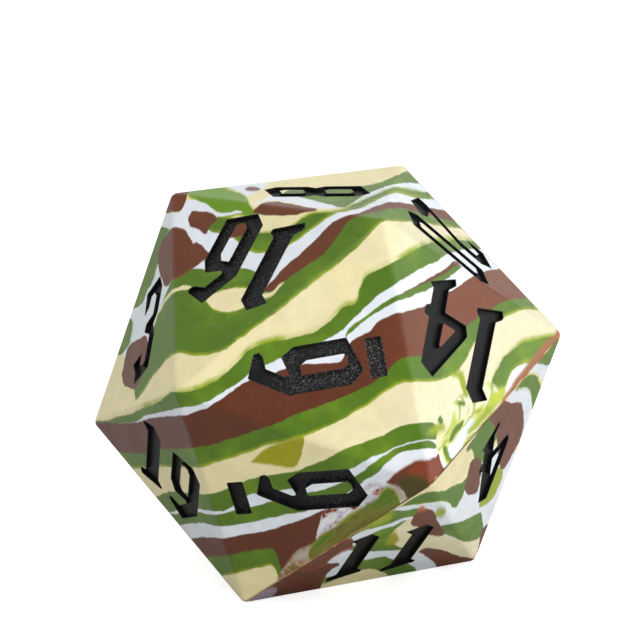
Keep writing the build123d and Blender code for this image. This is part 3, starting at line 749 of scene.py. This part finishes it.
def parting_rubber():
    """The film squeezed into the parting line: tan, dark brown and coppery brown from left to right.
    The pale streaks of its coppery right end are partly painted highlights.
    """
    material, graph, shader = new_material("parting_film")
    where = object_millimetres(graph)
    smear = graph.noise(where, scale=0.5, detail=4, roughness=0.65).outputs[0]
    across = graph.vector("DOT_PRODUCT", where, ACROSS)
    streaks = graph.ramp(smear, 0.4, 0.62)
    tan = graph.mix(streaks, srgb(150, 108, 62), srgb(196, 156, 100))
    dark = graph.mix(streaks, srgb(92, 54, 24), srgb(140, 92, 46))
    # Pale streaks here: partly painted highlights on the film's right end
    copper_and_highlights = graph.mix(streaks, srgb(176, 112, 70), srgb(226, 182, 140))
    left_half = graph.mix(graph.ramp(across, *TAN_TO_DARK), tan, dark)
    colour = graph.mix(graph.ramp(across, *DARK_TO_COPPER), left_half, copper_and_highlights)
    graph.plug(shader.inputs["Base Color"], colour)
    graph.plug(shader.inputs["Roughness"], graph.ramp(smear, 0.3, 0.7, 0.38, 0.5))
    rough = graph.add("Bump", {"Height": smear, "Strength": 0.3, "Distance": 0.1 * MM})
    graph.plug(shader.inputs["Normal"], rough.outputs[0])
    return material


def dress(node, material):
    """Gives a CAD node its material."""
    node.data.materials.clear()
    node.data.materials.append(material)


# Painted glints in the specks: bright on the 6, dimmer on the 9 and 16, faint on the other numerals
SMOOTH_PAINT = numeral_paint("smooth_numeral_paint", srgb(24, 26, 26))
GLINT_SPECKED_PAINTS = {
    "numeral_06": numeral_paint("grit_and_bright_glint_numeral_paint", srgb(110, 110, 108)),
    "numeral_09": numeral_paint("grit_and_dim_glint_numeral_paint", srgb(72, 72, 72)),
}
GLINT_SPECKED_PAINTS["numeral_16"] = GLINT_SPECKED_PAINTS["numeral_09"]
dress(NODES["upper_half"], marbled_rubber("marbled_rubber_upper", lower=False))
dress(NODES["lower_half"], marbled_rubber("marbled_rubber_lower", lower=True))
dress(NODES["parting_film"], parting_rubber())
for node_name, node in NODES.items():
    if node_name.startswith("numeral_"):
        dress(node, GLINT_SPECKED_PAINTS.get(node_name, SMOOTH_PAINT))

# ---------------------------------------------------------------- studio
FLOOR_GLOW = 0.78              # makes the floor look as white as the photo's


def make_floor():
    """A large white table under the die. Only the camera sees its glow, which lights nothing."""
    bpy.ops.mesh.primitive_plane_add(size=6, location=(0, 0, 0))
    floor = bpy.context.object
    floor.name = "floor"
    material, graph, shader = new_material("white_table")
    where = graph.add("TexCoord").outputs["Object"]
    tone = graph.noise(where, scale=3, detail=2).outputs[0]
    white = graph.mix(tone, srgb(208, 208, 208), srgb(216, 216, 216))
    graph.plug(shader.inputs["Base Color"], white)
    shader.inputs["Roughness"].default_value = 0.9
    shader.inputs["Specular IOR Level"].default_value = 0.1
    shader.inputs["Emission Color"].default_value = (1, 1, 1, 1)
    seen = graph.add("LightPath").outputs["Is Camera Ray"]
    graph.plug(shader.inputs["Emission Strength"], graph.math("MULTIPLY", seen, FLOOR_GLOW))
    floor.data.materials.append(material)


def make_light(name, azimuth, elevation, distance, size, power):
    """A square soft box that faces the die. Its place is an azimuth and elevation, as a view's,
    and a distance in metres. Size is its side in metres, and power is in watts."""
    light = bpy.data.lights.new(name, "AREA")
    light.shape = "SQUARE"
    light.size = size
    light.energy = power
    lamp = bpy.data.objects.new(name, light)
    lamp.visible_camera = False
    bpy.context.scene.collection.objects.link(lamp)
    right, up, back = view_axes(azimuth, elevation, 0)
    lamp.matrix_world = Matrix.Translation(CENTRE + back * distance) @ axes_matrix(right, up, back)


def make_world(level, swing):
    """White walls all round, brightest behind the die and darkest on the photographer's side."""
    world = bpy.data.worlds.new("studio")
    world.use_nodes = True
    graph = Graph(world.node_tree)
    direction = graph.add("TexCoord").outputs["Generated"]
    facing = graph.vector("DOT_PRODUCT", direction, TOWARDS)
    background = world.node_tree.nodes["Background"]
    background.inputs["Color"].default_value = (1, 1, 1, 1)
    brightness = graph.ramp(facing, -1, 1, level + swing, level - swing, smooth=False)
    graph.plug(background.inputs["Strength"], brightness)
    bpy.context.scene.world = world


def make_camera():
    """The photographer's camera. It aims a little off the die's centre, as the photo does."""
    data = bpy.data.cameras.new("camera")
    data.lens = CAMERA_LENS
    data.sensor_width = SENSOR_WIDTH
    data.clip_start = 0.01
    data.clip_end = 20
    camera = bpy.data.objects.new("camera", data)
    bpy.context.scene.collection.objects.link(camera)
    place = CENTRE + TOWARDS * CAMERA_DISTANCE
    target = CENTRE + UP * AIM_UP + ACROSS * AIM_RIGHT
    back = (place - target).normalized()
    right = UP.cross(back).normalized()
    up = back.cross(right)
    camera.matrix_world = Matrix.Translation(place) @ axes_matrix(right, up, back)
    bpy.context.scene.camera = camera


make_floor()
make_world(level=0.58, swing=0.24)
make_light("key", azimuth=-22, elevation=60, distance=1.0, size=0.7, power=4.5)
make_light("right_side", azimuth=70, elevation=12, distance=0.9, size=0.6, power=1.8)
make_light("low_right", azimuth=28, elevation=2, distance=0.6, size=0.25, power=1.5)
make_camera()
bpy.context.scene.view_settings.view_transform = "Standard"
